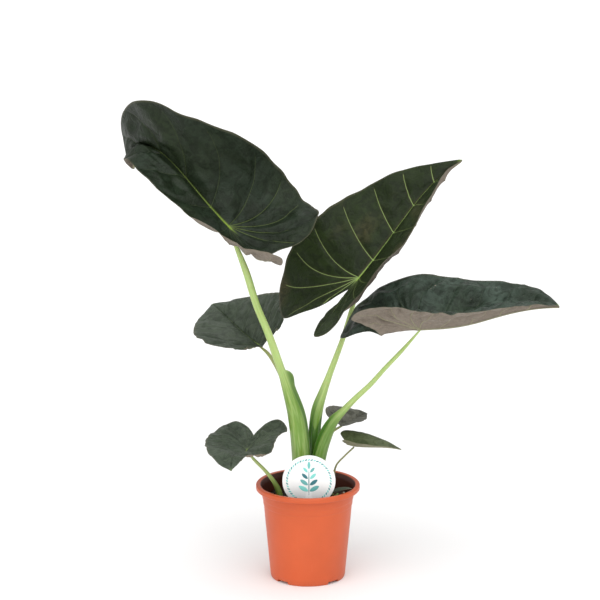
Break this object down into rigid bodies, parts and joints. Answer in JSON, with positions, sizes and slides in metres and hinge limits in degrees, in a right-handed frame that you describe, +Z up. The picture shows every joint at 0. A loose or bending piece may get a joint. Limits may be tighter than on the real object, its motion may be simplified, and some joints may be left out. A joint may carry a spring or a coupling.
{
  "type": "potted alocasia",
  "caption": "Leafy house plant in a round tapered nursery pot, with arrow-shaped dark leaves on long green stalks and a round plant label; stands on its pot.",
  "frame": {"origin": "middle of the pot's underside, on the floor", "axes": "+Z up the plant, -Y toward the side with the label, +X to the right of someone facing the label"},
  "size_m": [0.7024, 0.4119, 0.7811],
  "materials": {
    "pot_plastic": "smooth satin terracotta-coloured moulded plastic",
    "peat": "rough damp potting soil",
    "corm_skin": "matt plant skin",
    "label_card": "matt printed plastic card",
    "leaf": "satin dark green above, matt mauve grey below",
    "stalk": "satin fresh green"
  },
  "bodies": {
    "root": {"pot": "pot_plastic", "soil": "peat", "corm": "corm_skin", "plant_label": "label_card", "stalk_1": "stalk", "stalk_2": "stalk", "stalk_3": "stalk", "stalk_4": "stalk", "stalk_5": "stalk", "stalk_6": "stalk", "stalk_7": "stalk", "stalk_8": "stalk", "blade_1": "leaf", "blade_2": "leaf", "blade_3": "leaf", "blade_4": "leaf", "blade_5": "leaf", "blade_6": "leaf", "blade_7": "leaf", "blade_8": "leaf"}
  },
  "joints": []
}
